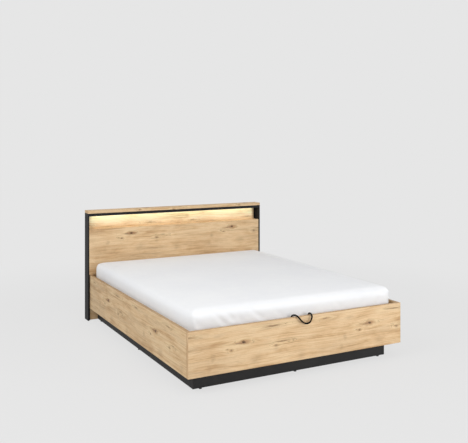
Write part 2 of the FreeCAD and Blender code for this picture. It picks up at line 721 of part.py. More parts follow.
# Platform: welded tube frame, slats in their holders, stops, mattress and pull cord
def make_platform(bolts):
    frame_half = bracket_inner
    inner = frame_half - tube_width

    def hollow(x0, x1, y0, y1, along_y):
        outer = block(x0, x1, y0, y1, tube_bottom, tube_top)
        margin_x = -overrun if not along_y else tube_wall
        margin_y = tube_wall if not along_y else -overrun
        core = block(x0 + margin_x, x1 - margin_x, y0 + margin_y, y1 - margin_y,
                     tube_bottom + tube_wall, tube_top - tube_wall)
        return outer.cut(core)

    side_tube = cut_all(hollow(inner, frame_half, frame_foot, frame_head, True), bolts)
    save("platform_side_tubes", side_tube, mirrored(side_tube))
    foot_tube = hollow(-inner, inner, frame_foot, frame_foot + tube_width, False)
    head_tube = hollow(-inner, inner, frame_head - tube_width, frame_head, False)
    save("platform_foot_tube", foot_tube)
    save("platform_head_tube", head_tube)
    save("platform_centre_tube", hollow(-centre_tube_width / 2, centre_tube_width / 2,
                                        frame_foot + tube_width, frame_head - tube_width, True))

    # slats lie at an even pitch, the first and last over the end tubes
    slat_start = slat_inner_gap / 2
    slat_end = frame_half - slat_end_inset
    cradle_half = slat_width / 2 + holder_clear + holder_wall
    first = frame_foot + cradle_half
    last = frame_head - cradle_half
    pitch = (last - first) / (slats_per_side - 1)
    right_slats = []
    holders = []
    holder_top = slat_top - holder_lip_drop
    for index in range(slats_per_side):
        y = first + index * pitch
        y0, y1 = y - slat_width / 2, y + slat_width / 2
        right_slats.append(plank(slat_start, slat_end, y0, y1, slat_bottom, slat_top, slat_edge))
        side_holder = block(inner - holder_overlap, frame_half - holder_wall,
                            y - cradle_half, y + cradle_half, tube_top, holder_top)
        pocket = block(inner - holder_overlap - overrun, slat_end + holder_clear, y0 - holder_clear,
                       y1 + holder_clear, slat_bottom, holder_top + overrun)
        side_holder = side_holder.cut(pocket)
        middle_holder = block(-centre_tube_width / 2, centre_tube_width / 2, y - cradle_half, y + cradle_half,
                              tube_top, holder_top)
        middle_pocket = block(slat_start - holder_clear, centre_tube_width, y0 - holder_clear,
                              y1 + holder_clear, slat_bottom, holder_top + overrun)
        middle_holder = middle_holder.cut(middle_pocket).cut(mirrored(middle_pocket))
        holders.extend((side_holder, mirrored(side_holder), middle_holder))
    save("slats_right", *right_slats)
    save("slats_left", *[mirrored(slat) for slat in right_slats])
    save("slat_holders", *holders)

    # stops at the head end keep the mattress from sliding while the platform is up
    stops = []
    stop_z0 = tube_top - stop_drop - stop_thickness
    stop_face = mattress_head + stop_gap
    stop_back = stop_face + stop_thickness
    for side in (-1, 1):
        x0 = (side * stop_spacing - stop_width) / 2
        x1 = (side * stop_spacing + stop_width) / 2
        foot = block(x0, x1, frame_head, stop_back, stop_z0, stop_z0 + stop_thickness)
        upright = block(x0, x1, stop_face, stop_back, stop_z0, stop_z0 + stop_height)
        stops.append(foot.fuse(upright).removeSplitter())
    save("mattress_stops", *stops)

    tab = block(cord_left - tab_margin, cord_right + tab_margin, foot_inner + tab_front_gap, frame_foot,
                tab_bottom, tab_top)
    knots = []
    hole_radius = cord_diameter / 2 + cord_hole_clear
    for x in (cord_left, cord_right):
        tab = tab.cut(Part.makeCylinder(hole_radius, tab_thickness + 2 * overrun,
                                        Vector(x, cord_line, tab_bottom - overrun)))
        knot = Part.makeSphere(knot_radius, Vector(x, cord_line, tab_bottom - knot_sink_share * knot_radius))
        knots.append(knot.cut(block(x - knot_radius, x + knot_radius, cord_line - knot_radius,
                                    cord_line + knot_radius, tab_bottom, tab_bottom + knot_radius)))
    save("cord_tab", tab)
    save("cord_knots", *knots)

    # the loop's route in x, distance behind the foot face, and height over the floor
    route = [
        (cord_left, cord_back, tab_bottom),
        (cord_left, cord_back, 322.0),
        (-83.5, 31.5, 361.0),
        (-82.0, 31.5, 402.0),
        (-74.0, 19.0, 417.0),
        (-61.0, -0.5, 417.0),
        (-48.0, -17.0, 402.0),
        (-30.0, -18.5, 378.0),
        (-7.0, -18.0, 356.0),
        (19.0, -17.5, 344.0),
        (43.0, -17.5, 348.5),
        (58.0, -18.0, 371.0),
        (64.0, -17.0, 402.0),
        (65.0, -0.5, 417.0),
        (65.5, 19.0, 417.0),
        (65.0, 31.5, 402.0),
        (64.5, 31.5, 361.0),
        (cord_right, cord_back, 322.0),
        (cord_right, cord_back, tab_bottom),
    ]
    points = [(x, foot_face + back_distance, z) for x, back_distance, z in route]
    save("pull_cord", tube_along(points, cord_diameter, "pull_cord"))
    save("mattress", make_mattress())


screws_in_rails, tube_bolts = make_lift()
tube_bolts += [mirrored(bolt) for bolt in tube_bolts]
screws_in_corners = make_box(screws_in_rails)
make_headboard(screws_in_corners)
make_platform(tube_bolts)
print("overall length", overall_length, "box width", 2 * box_half, "nodes", len(os.listdir("parts")))
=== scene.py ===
import math
import random

import bmesh
import bpy
from mathutils import Matrix, Vector


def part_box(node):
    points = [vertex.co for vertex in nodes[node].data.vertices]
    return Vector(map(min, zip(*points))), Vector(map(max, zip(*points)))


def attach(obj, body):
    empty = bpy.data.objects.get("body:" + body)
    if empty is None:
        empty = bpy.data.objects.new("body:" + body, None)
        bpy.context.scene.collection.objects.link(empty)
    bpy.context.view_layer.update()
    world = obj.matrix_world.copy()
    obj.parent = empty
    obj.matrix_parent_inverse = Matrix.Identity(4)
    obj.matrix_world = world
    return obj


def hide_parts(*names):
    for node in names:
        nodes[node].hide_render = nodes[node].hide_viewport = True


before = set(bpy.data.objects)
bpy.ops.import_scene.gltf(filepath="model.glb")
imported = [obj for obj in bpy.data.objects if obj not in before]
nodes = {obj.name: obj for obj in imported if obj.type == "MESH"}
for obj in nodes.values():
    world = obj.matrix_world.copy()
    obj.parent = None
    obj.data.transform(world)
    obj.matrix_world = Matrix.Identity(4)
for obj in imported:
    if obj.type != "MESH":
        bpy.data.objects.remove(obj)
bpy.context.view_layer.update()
print("frame loaded:", len(nodes), "nodes")


def linked(name, data):
    piece = bpy.data.objects.new(name, data)
    bpy.context.scene.collection.objects.link(piece)
    return piece


def clamped(value, low=0.0, high=1.0):
    return min(high, max(low, value))


def keepPiece(piece, body, slot, *materials):
    for material in materials:
        piece.data.materials.append(material)
    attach(piece, body)
    return piece


def dress(material, *names):
    for name in names:
        nodes[name].data.materials.clear()
        nodes[name].data.materials.append(material)


# camera: level, with the lens shifted down as in the photograph
view = {
    "place": (-2.6249, -5.0137, 1.5783),
    "turn": -28.089,
    "lens": 54.44,
    "sensor": 36.0,
    "shiftDown": -0.1776,
    "farthest": 200.0,
}
lens = bpy.data.cameras.new("camera")
lens.sensor_width = view["sensor"]
lens.lens = view["lens"]
lens.shift_y = view["shiftDown"]
lens.clip_end = view["farthest"]
camera = linked("camera", lens)
camera.location = view["place"]
camera.rotation_euler = (math.radians(90), 0, math.radians(view["turn"]))
bpy.context.scene.camera = camera

# pull cord: up between mattress and footboard, over the edge and back
pullCord = {
    "diameter": 0.011,
    "length": 0.5276,
    "route": [
        (-0.084, -1.0415, 0.286), (-0.094, -1.0415, 0.322), (-0.09, -1.042, 0.361),
        (-0.0745, -1.042, 0.39), (-0.068, -1.051, 0.4055), (-0.058, -1.0725, 0.4075),
        (-0.047, -1.089, 0.3968), (-0.032, -1.0914, 0.3765), (-0.011, -1.0907, 0.357),
        (0.017, -1.0904, 0.346), (0.041, -1.0904, 0.35), (0.0555, -1.0907, 0.371),
        (0.061, -1.0902, 0.3918), (0.0612, -1.0742, 0.405), (0.061, -1.053, 0.405),
        (0.062, -1.042, 0.391), (0.074, -1.042, 0.361), (0.074, -1.0415, 0.322),
        (0.064, -1.0415, 0.286),
    ],
}
cordCurve = bpy.data.curves.new("pullCordLine", "CURVE")
cordCurve.dimensions = "3D"
cordLine = cordCurve.splines.new("NURBS")
cordLine.points.add(len(pullCord["route"]) - 1)
for point, place in zip(cordLine.points, pullCord["route"]):
    point.co = (*place, 1.0)
    point.radius = pullCord["diameter"] / 2  # so that the curve's box fits it
cordLine.order_u = 3
cordLine.use_endpoint_u = True
cordCurve.resolution_u = 10
cordCurve.bevel_depth = 1.0
cordCurve.bevel_resolution = 5
cordCurve.use_fill_caps = True
cordPiece = keepPiece(linked("pullCord", cordCurve), "platform", "cord_fabric")
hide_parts("pull_cord")
print("camera and cord placed")


# materials are written as sums on sockets
def both(operation):
    # an operator on sockets and its reflected form
    return (lambda wire, value: wire.owner.sum(operation, wire, value),
            lambda wire, value: wire.owner.sum(operation, value, wire))


class Wire:
    def __init__(self, owner, socket):
        self.owner = owner
        self.socket = socket

    def other(self, index):
        return Wire(self.owner, self.socket.node.outputs[index])

    def __abs__(self):
        return self.owner.sum("ABSOLUTE", self)

    __add__, __radd__ = both("ADD")
    __sub__, __rsub__ = both("SUBTRACT")
    __mul__, __rmul__ = both("MULTIPLY")
    __truediv__, __rtruediv__ = both("DIVIDE")
    __pow__, __rpow__ = both("POWER")


class Nodes:
    def __init__(self, tree):
        self.tree = tree

    def plug(self, socket, value):
        if isinstance(value, Wire):
            self.tree.links.new(value.socket, socket)
        else:
            socket.default_value = value

    def node(self, kind, settings=None, values=None, output=0):
        made = self.tree.nodes.new("ShaderNode" + kind)
        for key, value in (settings or {}).items():
            if key == "stops":
                self.setStops(made.color_ramp.elements, value)
            else:
                setattr(made, key, value)
        for key, value in (values or {}).items():
            self.plug(made.inputs[key], value)
        return Wire(self, made.outputs[output])

    def setStops(self, elements, stops):
        while len(elements) < len(stops):
            elements.new(1.0)
        for element, (place, colour) in zip(elements, stops):
            element.position = place
            element.color = (*colour, 1.0)

    def sum(self, operation, *values, **settings):
        settings["operation"] = operation
        return self.node("Math", settings, dict(enumerate(values)))

    def vectorSum(self, operation, *values, **settings):
        output = 1 if operation == "DOT_PRODUCT" else 0
        settings["operation"] = operation
        return self.node("VectorMath", settings, dict(enumerate(values)), output)

    def least(self, first, second):
        return self.sum("MINIMUM", first, second)

    def most(self, first, second):
        return self.sum("MAXIMUM", first, second)

    def place(self):
        x = self.node("SeparateXYZ", values={0: self.node("TexCoord", output=3)})
        return x, x.other(1), x.other(2)

    def facing(self, axis):
        way = self.node("SeparateXYZ", values={0: self.node("TexCoord", output=1)})
        return abs(way.other(axis))

    def vector(self, x, y, z):
        return self.node("CombineXYZ", values={0: x, 1: y, 2: z})

    def noise(self, x, y, z, scale=1.0, detail=2.0, roughness=0.5, distortion=0.0):
        return self.node("TexNoise", values={"Vector": self.vector(x, y, z), "Scale": scale,
                                             "Detail": detail, "Roughness": roughness,
                                             "Distortion": distortion})

    def cells(self, x, y, z, scale):
        return self.node("TexVoronoi", values={"Vector": self.vector(x, y, z), "Scale": scale})

    def step(self, value, low, high, fromValue=0.0, toValue=1.0):
        return self.node("MapRange", {"interpolation_type": "SMOOTHSTEP"},
                         {"Value": value, "From Min": low, "From Max": high, "To Min": fromValue,
                          "To Max": toValue})

    def ramp(self, value, *stops):
        return self.node("ValToRGB", {"stops": stops}, {"Fac": value})

    def blend(self, share, first, second, kind="MIX", **settings):
        first, second = [item if isinstance(item, Wire) else (*item, 1.0) for item in (first, second)]
        return self.node("Mix", {"data_type": "RGBA", "blend_type": kind, **settings},
                         {0: share, 6: first, 7: second}, 2)

    def secondOf(self, gaps):
        # the middle one of three gaps: on a box's face, how far its nearest edge is
        a = self.node("SeparateXYZ", values={0: gaps})
        b, c = a.other(1), a.other(2)
        return self.most(self.least(a, b), self.least(self.most(a, b), c))

    def edgeGap(self, x, y, z, low, high):
        # the same for the box from low to high
        gaps = [self.least(value - a, b - value) for value, a, b in zip((x, y, z), low, high)]
        return self.secondOf(self.vector(*gaps))

    def seen(self):
        # by the camera itself, or in what is glossy or clear
        rays = self.node("LightPath")
        gloss = self.most(rays.other("Is Glossy Ray"), rays.other("Is Transmission Ray"))
        return self.most(rays.other("Is Camera Ray"), gloss)


class Finish(Nodes):
    def __init__(self, name, source=None, **fixed):
        self.material = source.copy() if source else bpy.data.materials.new(name)
        self.material.name = name
        self.material.use_nodes = True
        super().__init__(self.material.node_tree)
        self.shader = self.tree.nodes["Principled BSDF"]
        self.set(**fixed)

    def set(self, **sockets):
        for socket, value in sockets.items():
            self.plug(self.shader.inputs[socket.replace("_", " ")], value)
        return self.material

    def surface(self, colour, roughness, height, relief, strength=0.5, **more):
        # height times relief, in metres, is how far each spot stands out
        bump = self.node("Bump", values={"Height": height, "Distance": relief, "Strength": strength})
        return self.set(Base_Color=colour, Roughness=roughness, Normal=bump, **more)


def shade(*screen):  # screen colour, 0 to 255, as a linear one
    return tuple(((c / 255 + 0.055) / 1.055) ** 2.4 if c > 10 else c / 255 / 12.92 for c in screen)


faceOn = (0.6, 0.8)  # how far a face has to look along an axis to begin to count, and to count in full

# oak decor board: one printed sheet pattern, which comes back every metre or so along the grain
oakPrint = {
    "repeat": 1.012,
    "pale": shade(237, 208, 167),
    "middle": shade(225, 191, 147),
    "deep": shade(198, 159, 114),
    "grey": shade(178, 147, 112),
    "streak": shade(146, 110, 74),
    "knot": shade(66, 44, 32),
    "rim": shade(178, 134, 92),
    "light": shade(242, 217, 173),
    "stops": (0.405, 0.47, 0.548),  # where deep, middle and pale lie
    "band": 0.001,  # edging strip's thickness
    "turn": 0.55,  # how far the pattern moves on over an edge
    "endStart": (3.17, 0.31),  # where it starts on an end's edging strip
    "railTone": (0.94, 0.95, 0.94),  # the rails come out a shade darker and greyer
    # the headboard's front panel comes out a touch darker
    "panelTone": (0.98, 0.98, 0.975),
    # turns a metre along, across and into the board; detail, roughness, start along the grain
    "layers": {
        "wave": (1.7, 5, 2, 3, 0.45, 0),
        "ripple": (9, 22, 3, 2, 0.5, 0),
        "crumble": (75, 190, 60, 3, 0.6, 0),
        "drift": (26, 60, 20, 1, 0.5, 0),
        "bands": (1.6, 30, 6, 4, 0.55, 0),
        "streaks": (3.4, 130, 30, 4, 0.62, 0),
        "clouds": (3.6, 11, 4, 3, 0.5, 0),
        "blotch": (7, 16, 8, 3, 0.6, 0),
        "fibre": (22, 900, 500, 2, 0.6, 0),
        "hair": (6, 300, 90, 3, 0.6, 3),
        "pores": (42, 1700, 900, 1, 0.5, 0),
        "smoke": (2.1, 26, 5, 3, 0.6, 5.1),
        "greyer": (1.6, 16, 3, 4, 0.5, 7.3),
        "cracks": (14, 30, 9, 1, 0.5, 0),
        "shorts": (6, 210, 60, 3, 0.5, 1.7),
    },
    # along, across, length, height, how dark
    "knots": [
        (0.004, 0.0, 0.019, 0.011, 1.0), (-0.032, -0.003, 0.036, 0.006, 0.62),
        (-0.085, -0.04, 0.01, 0.0075, 0.66), (-0.113, -0.032, 0.009, 0.0055, 0.52),
        (0.303, -0.03, 0.034, 0.006, 0.5), (0.245, -0.052, 0.016, 0.0095, 0.52),
        (0.228, 0.078, 0.05, 0.006, 0.55), (-0.378, 0.076, 0.026, 0.007, 0.55),
        (0.345, -0.04, 0.014, 0.005, 0.42),
    ],
    # along, across, half length, half height, how grey: soft flames over the grain
    "flames": [
        (-0.214, -0.072, 0.023, 0.028, 0.78), (-0.238, -0.136, 0.026, 0.036, 0.7),
        (0.09, -0.126, 0.042, 0.03, 0.6), (0.246, -0.066, 0.019, 0.026, 0.58),
        (0.442, -0.142, 0.028, 0.032, 0.58), (-0.33, 0.072, 0.055, 0.018, 0.7),
        (0.205, 0.084, 0.075, 0.018, 0.66), (-0.17, 0.06, 0.045, 0.014, 0.5),
        # the last, widest one greys a broad patch, once in each repeat of the print
        (-0.25, -0.15, 0.21, 0.1, 0.4),
    ],
}


def oakPattern():
    # the nodes that differ from board to board have names, and oakBoard fills them in
    board = Finish("oakPattern", IOR=1.45, Specular_IOR_Level=0.35)
    spot = board.node("TexCoord", output=3)
    facing = board.vectorSum("ABSOLUTE", board.node("TexCoord", output=1))
    run = board.sum("SUBTRACT", board.vectorSum("DOT_PRODUCT", spot, name="runAxis"), name="runStart")
    depth = board.vectorSum("DOT_PRODUCT", spot, name="depthAxis")
    endFace = board.vectorSum("DOT_PRODUCT", facing, name="endAxis")
    z = board.node("SeparateXYZ", values={0: spot}).other(2)
    rise = board.sum("SUBTRACT", z + depth * oakPrint["turn"], name="riseStart")
    # on an end the edging strip runs up the board, so its grain does too
    turned = board.step(endFace, *faceOn)
    run = run + (z + oakPrint["endStart"][0] - run) * turned
    rise = rise + (depth + oakPrint["endStart"][1] - rise) * turned
    wrapped = board.sum("WRAP", run, oakPrint["repeat"] / 2, -oakPrint["repeat"] / 2)
    sheet = board.vector(wrapped, rise, 0.0)

    def layer(name, height, **more):
        along, across, into, detail, roughness, start = oakPrint["layers"][name]
        ahead = run * along + start if start else run * along
        return board.noise(ahead, height * across, depth * into, 1.0, detail, roughness, **more)

    def nearTo(ahead, up, length, height, waver):
        # the way from a mark's middle, 1 long at its outline, and the square of that
        near = board.vectorSum("MULTIPLY_ADD", sheet, (1 / length, 1 / height, 0),
                               (-ahead / length, -up / height, 0))
        near = board.vectorSum("ADD", near, waver)
        return near, board.vectorSum("DOT_PRODUCT", near, near)

    # slow waves of the grain, then the grain parts round each knot
    wave = layer("wave", rise) - 0.5
    ripple = layer("ripple", rise) - 0.5
    crumble = layer("crumble", rise) - 0.5
    drift = layer("drift", rise) - 0.5
    level = rise + wave * 0.055 + ripple * 0.006
    jitter = board.vector(crumble * 0.7, drift * 1.5 + crumble * 0.5, 0.0)
    dark = 0.0
    wing = 0.0
    for ahead, up, length, height, tone in oakPrint["knots"]:
        near, spread = nearTo(ahead, up, length, height, jitter)
        flat = board.vectorSum("MULTIPLY", near, (0.36, 0.62, 0))
        trail = board.vectorSum("DOT_PRODUCT", flat, flat)
        over = board.vectorSum("DOT_PRODUCT", near, (0, 1, 0))
        dark = board.most(dark, board.step(spread + crumble, 0.95, 0.1, 0.0, tone ** 1.6))
        wing = board.most(wing, 0.45 ** trail * tone)
        level = level - 0.85 ** spread * over * (0.7 * height * min(1.0, tone + 0.3))

    flame = 0.0
    smudge = board.vector(drift * 0.9 + ripple * 1.2, crumble * 0.5 + drift * 1.1, 0.0)
    for *form, tone in oakPrint["flames"]:
        near, spread = nearTo(*form, smudge)
        flame = board.most(flame, 0.3 ** spread * tone)

    bands = layer("bands", level)
    streaks = layer("streaks", level)
    clouds = layer("clouds", rise)
    blotch = layer("blotch", rise, distortion=0.8)
    fibre = layer("fibre", level)
    rings = board.sum("SINE", level * 620.0 + bands * 9.0) * 0.5 + 0.5
    pores = board.step(layer("pores", level), 0.6, 0.7)
    hair = board.step(layer("hair", level), 0.5, 0.66)
    smoke = board.step(layer("smoke", level), 0.52, 0.68)
    greyer = board.step(layer("greyer", level), 0.48, 0.7)

    # the sheet's colour, with grey in clouds, hairs and flames, then fibres and pores
    mixed = bands * 0.3 + streaks * 0.29 + clouds * 0.22 + blotch * 0.19 + rings * 0.03 - 0.012
    mixed = mixed - smoke * 0.04
    tones = (oakPrint["deep"], oakPrint["middle"], oakPrint["pale"])
    colour = board.ramp(mixed, *zip(oakPrint["stops"], tones))
    colour = board.blend(greyer * (0.26 + hair * 0.5) + hair * 0.16, colour, oakPrint["grey"])
    colour = board.blend(flame * (0.55 + hair * 0.45), colour, oakPrint["grey"])
    colour = board.blend(fibre * 0.3 - 0.02, colour, (0.62, 0.5, 0.36), "MULTIPLY")
    colour = board.blend(pores * 0.34, colour, oakPrint["grey"])
    # round a knot the wood is pale, then tan and streaked close to it, with short cracks about it
    halo = board.step(wing + drift * 0.15, 0.06, 0.22) * board.step(wing, 0.5, 0.3)
    colour = board.blend(halo * 0.4, colour, oakPrint["light"])
    crack = board.step(abs(wing + crumble * 0.3 + drift * 0.5 - 0.26), 0.05, 0.01)
    crack = crack * board.step(layer("cracks", rise), 0.48, 0.58)
    colour = board.blend(board.step(wing, 0.28, 0.85) * 0.62, colour, oakPrint["rim"])
    colour = board.blend(wing * (0.1 + hair * 0.85), colour, oakPrint["streak"])
    colour = board.blend(crack * 0.55, colour, oakPrint["streak"])
    shorts = board.step(layer("shorts", level), 0.6, 0.74)
    colour = board.blend(shorts * 0.36, colour, oakPrint["streak"])
    broken = 0.62 + board.step(crumble, -0.12, 0.1) * 0.38
    colour = board.blend(dark * broken, colour, oakPrint["knot"])
    # the edging strips show as a fine dark joint just inside each edge
    fromMiddle = board.vectorSum("ABSOLUTE", board.vectorSum("SUBTRACT", spot, name="boxMiddle"))
    edge = board.secondOf(board.vectorSum("SUBTRACT", (0, 0, 0), fromMiddle, name="boxHalf"))
    joint = board.step(abs(edge - oakPrint["band"]), 0.0005, 0.0002)
    strip = board.step(edge, oakPrint["band"] + 0.0002, oakPrint["band"] - 0.0002)
    # painted shade: the top faces are darkened, standing in for the shade along the gap beside the
    # mattress; the ends take a little of the streak colour
    paintedTopShade = board.step(board.node("SeparateXYZ", values={0: facing}).other(2), *faceOn)
    paintedTopShade = board.sum("MULTIPLY", paintedTopShade, name="topStrip")
    colour = board.blend(joint * 0.45 + turned * 0.1 + paintedTopShade, colour, oakPrint["streak"])
    colour = board.blend(1.0, colour, (1.0, 1.0, 1.0), "MULTIPLY", name="boardTone")
    roughness = 0.48 + streaks * 0.14 + pores * 0.1 - strip * 0.05
    height = fibre * 0.5 - pores * 0.8 - dark * 0.6 - joint * 1.2
    return board.surface(colour, roughness, height, 0.00025, 0.6)


def oakBoard(node, along, start, topStrip=0.0, tone=(1.0, 1.0, 1.0)):
    # along is the axis and way that the print runs, start is where its main knot lies; the third
    # argument says how much painted shade darkens the top faces
    board = Finish(node + "_oak", source=oakPatternMaterial)
    low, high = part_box(node)
    x, y = (1, 0, 0), (0, 1, 0)
    values = {
        ("runAxis", 1): {"x": x, "y": y, "-y": (0, -1, 0)}[along],
        ("runStart", 1): start[0],
        ("depthAxis", 1): y if along == "x" else x,
        ("endAxis", 1): x if along == "x" else y,
        ("riseStart", 1): start[1] + oakPrint["turn"] * start[2],
        ("topStrip", 1): topStrip,
        ("boardTone", 7): (*tone, 1.0),
        ("boxMiddle", 1): (low + high) / 2,
        ("boxHalf", 0): (high - low) / 2,
    }
    for (name, socket), value in values.items():
        board.tree.nodes[name].inputs[socket].default_value = value
    dress(board.material, node)
    return board


# painted light: the strip's light on the oak round the niche is painted as emission, on top of the real
# light from the milky cover
paintedNicheGlow = {
    "under": 0.897,  # height of the milky cover
    "reach": 0.107,  # down to the ledge
    "back": 1.0575,  # the panel's lit face
    "leftEnd": (-0.852, -0.79),
    "rightEnd": (0.834, 0.798),
    "upFrom": (0.786, 0.788),  # what faces up gets painted light above this height
    "fall": ((0.0, (0.55, 0.9, 0.97)), (0.4, (0.47, 0.73, 0.8)), (0.62, (0.44, 0.6, 0.72)),
             (0.82, (0.26, 0.31, 0.31)), (1.0, (0.1, 0.11, 0.11))),
    "ledge": (0.22, 0.2, 0.17),
    "strength": 1.2,
}


def paintStripLight(board, facesUp):
    # painted light: an emission glow that stands in for the light strip's light on the panel behind the
    # niche, or on what faces up below it
    x, y, z = board.place()
    colour = Wire(board, board.shader.inputs["Base Color"].links[0].from_socket)
    ends = board.step(x, *paintedNicheGlow["leftEnd"]) * board.step(x, *paintedNicheGlow["rightEnd"])
    if facesUp:
        where = ends * board.step(board.facing(2), *faceOn) * board.step(z, *paintedNicheGlow["upFrom"])
        gain = paintedNicheGlow["ledge"]
    else:
        where = ends * board.step(z, paintedNicheGlow["under"] + 0.004, paintedNicheGlow["under"])
        where = where * board.step(y, paintedNicheGlow["back"] + 0.002, paintedNicheGlow["back"] + 0.0005)
        gain = board.ramp((paintedNicheGlow["under"] - z) / paintedNicheGlow["reach"], *paintedNicheGlow["fall"])
    glow = board.blend(1.0, colour, gain, "MULTIPLY")
    where = where * paintedNicheGlow["strength"]
    glow = board.node("VectorMath", {"operation": "SCALE"}, {0: glow, "Scale": where})
    board.set(Emission_Color=glow, Emission_Strength=1.0)


oakPatternMaterial = oakPattern()
oakBoard("headboard_top_board", "x", (-0.3, 0.98, 0.976))
oakBoard("headboard_lower_panel", "x", (-0.468, 0.735, 0.992))
oakBoard("footboard", "x", (-0.456, 0.283, -1.0735), 0.5)
oakBoard("side_rail_left", "-y", (-0.476, 0.277, -0.84), 0.6, oakPrint["railTone"])
oakBoard("side_rail_right", "y", (-0.476, 0.277, 0.84), 0.6, oakPrint["railTone"])
frontPanel = oakBoard("headboard_front_panel", "x", (-0.468, 0.735, 0.976), tone=oakPrint["panelTone"])
backPanel = oakBoard("headboard_back_panel", "x", (-0.468, 0.735, 1.0575))
ledge = oakBoard("headboard_ledge", "x", (0.12, 0.83, 0.992))
paintStripLight(frontPanel, facesUp=True)
paintStripLight(backPanel, facesUp=False)
paintStripLight(ledge, facesUp=True)
print("materials: oak boards")

# matt black faced board of the headboard's frame and the plinth
blackFace = {
    "frame": (shade(27, 27, 28), shade(35, 35, 36)),
    "plinth": (shade(40, 40, 41), shade(50, 50, 50)),
    "stops": (0.36, 0.64),
    "edgeHighlight": shade(84, 82, 80),
    "edgeHighlightWidth": 0.0009,
    "boards": ("headboard_left_side", "headboard_right_side", "headboard_top_rail",
               "plinth_left", "plinth_right", "plinth_front", "plinth_back"),
}
for name in blackFace["boards"]:
    board = Finish(name + "_black", IOR=1.45, Specular_IOR_Level=0.22)
    x, y, z = board.place()
    low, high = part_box(name)
    pearl = board.noise(x, y, z, scale=620)
    cloud = board.noise(x, y, z, scale=4, detail=3)
    # painted highlight: a lighter band along each edge of the black boards, wavering a little
    edgeWaver = board.noise(x, y, z, scale=38, detail=3)
    edge = board.edgeGap(x, y, z, low, high) + (edgeWaver - 0.5) * 0.0022
    edgeHighlight = board.step(edge, blackFace["edgeHighlightWidth"], 0.0)
    tone = "plinth" if name.startswith("plinth") else "frame"
    colour = board.ramp(cloud * 0.6 + pearl * 0.4, *zip(blackFace["stops"], blackFace[tone]))
    colour = board.blend(edgeHighlight * 0.3, colour, blackFace["edgeHighlight"])
    dress(board.surface(colour, 0.5 + pearl * 0.16 + cloud * 0.06, pearl, 0.00012), name)
print("materials: black boards")

# plain faced board of the floor and its beam, with chipboard at the edges
plainFace = {
    "pale": shade(226, 216, 198),
    "deep": shade(214, 203, 184),
    "chips": ((0.1, shade(120, 92, 60)), (0.45, shade(172, 138, 94)), (0.85, shade(206, 176, 128))),
}


def plainBoard(name, across):
    board = Finish(name + "_faced", IOR=1.45, Specular_IOR_Level=0.35)
    spot = board.place()
    x, y, z = spot
    low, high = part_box(name)
    inside = board.least(spot[across] - low[across], high[across] - spot[across])
    bare = board.step(inside, 0.0004, 0.0009)
    linen = board.noise(x, y * 6.0, z * 6.0, scale=160) + board.noise(x * 6.0, y, z * 6.0, scale=160)
    cloud = board.noise(x, y, z, scale=2.4, detail=3)
    chip = board.cells(x * 0.45, y * 0.8, z, 420)
    grit = board.noise(x, y, z, scale=900, detail=3)
    face = board.ramp(cloud * 0.7 + linen * 0.15, (0.35, plainFace["deep"]), (0.65, plainFace["pale"]))
    core = board.ramp(chip.other(1) * 0.75 + grit * 0.25, *plainFace["chips"])
    colour = board.blend(bare, face, core)
    height = linen * 0.4 * (1.0 - bare) + chip * bare
    return board.surface(colour, 0.45 + bare * 0.35 + linen * 0.05, height, 0.0002)


for name, across in (("floor_panel_foot", 2), ("floor_panel_head", 2), ("centre_beam", 0)):
    dress(plainBoard(name, across), name)

# planed softwood of battens, cleats and spacers
pine = {
    "early": shade(232, 204, 158),
    "late": shade(196, 148, 92),
    "knot": shade(116, 72, 40),
    "ring": 0.0042,
    "sideBattens": 0.777,  # battens further out than this run along the bed
}


def softwood(name, along):
    wood = Finish(name + "_pine", IOR=1.45, Specular_IOR_Level=0.3)
    x, y, z = wood.place()
    if along == "z":
        run, one, two = z, x, y
    elif along == "y":
        run, one, two = y, x, z
    else:
        side = wood.step(abs(x), pine["sideBattens"], pine["sideBattens"] + 0.0005)
        run, one, two = x + (y - x) * side, y + (x - y) * side, z
    bend = wood.noise(run * 2.0, one * 9.0, two * 9.0, detail=3) - 0.5
    centre = one * 0.86 + two * 0.5 + bend * 0.05
    ring = wood.sum("FRACT", centre / pine["ring"])
    late = wood.step(ring, 0.45, 0.95) * wood.step(ring, 1.0, 0.97)
    fibre = wood.noise(run * 16.0, one * 700.0, two * 700.0)
    spot = wood.cells(run * 3.1, one * 14.0, two * 14.0, 1.0)
    knot = wood.step(spot, 0.16, 0.08)
    colour = wood.blend(late * 0.55 + fibre * 0.2, pine["early"], pine["late"])
    colour = wood.blend(knot * 0.85, colour, pine["knot"])
    return wood.surface(colour, 0.62 + fibre * 0.15, fibre * 0.6 + late * 0.4, 0.0003)


for name, along in (("headboard_spacers", "z"), ("floor_battens", "box"), ("platform_rests", "y")):
    dress(softwood(name, along), name)

# bent slats: thin birch layers, varnished, each slat a little different
slat = {
    "first": -1.0266,
    "pitch": 0.14686,
    "face": (shade(214, 182, 134), shade(232, 208, 168)),
    "glue": shade(120, 84, 50),
    "layer": 0.00135,
}
wood = Finish("birchSlats", IOR=1.5, Coat_Roughness=0.3)
x, y, z = wood.place()
index = wood.sum("FLOOR", (y - slat["first"]) / slat["pitch"] + 0.02)
index = index + wood.step(x, -0.001, 0.001) * 20.0
tone = wood.node("TexWhiteNoise", {"noise_dimensions": "1D"}, {"W": index})
grain = wood.noise(x * 2.2, y * 150.0 + tone * 40.0, z * 60.0, detail=4, roughness=0.6)
figure = wood.noise(x * 14.0 + tone * 9.0, y * 30.0, z * 10.0, distortion=0.6)
fleck = wood.step(wood.noise(x * 60.0, y * 900.0, z * 300.0, detail=1), 0.66, 0.74)
layers = wood.sum("FRACT", z / slat["layer"])
glue = wood.step(layers, 0.8, 0.95) * wood.step(wood.facing(1), 0.5, 0.8)
colour = wood.ramp(grain * 0.55 + figure * 0.25 + tone * 0.22, *zip((0.3, 0.68), slat["face"]))
colour = wood.blend(fleck * 0.35 + glue * 0.6, colour, slat["glue"])
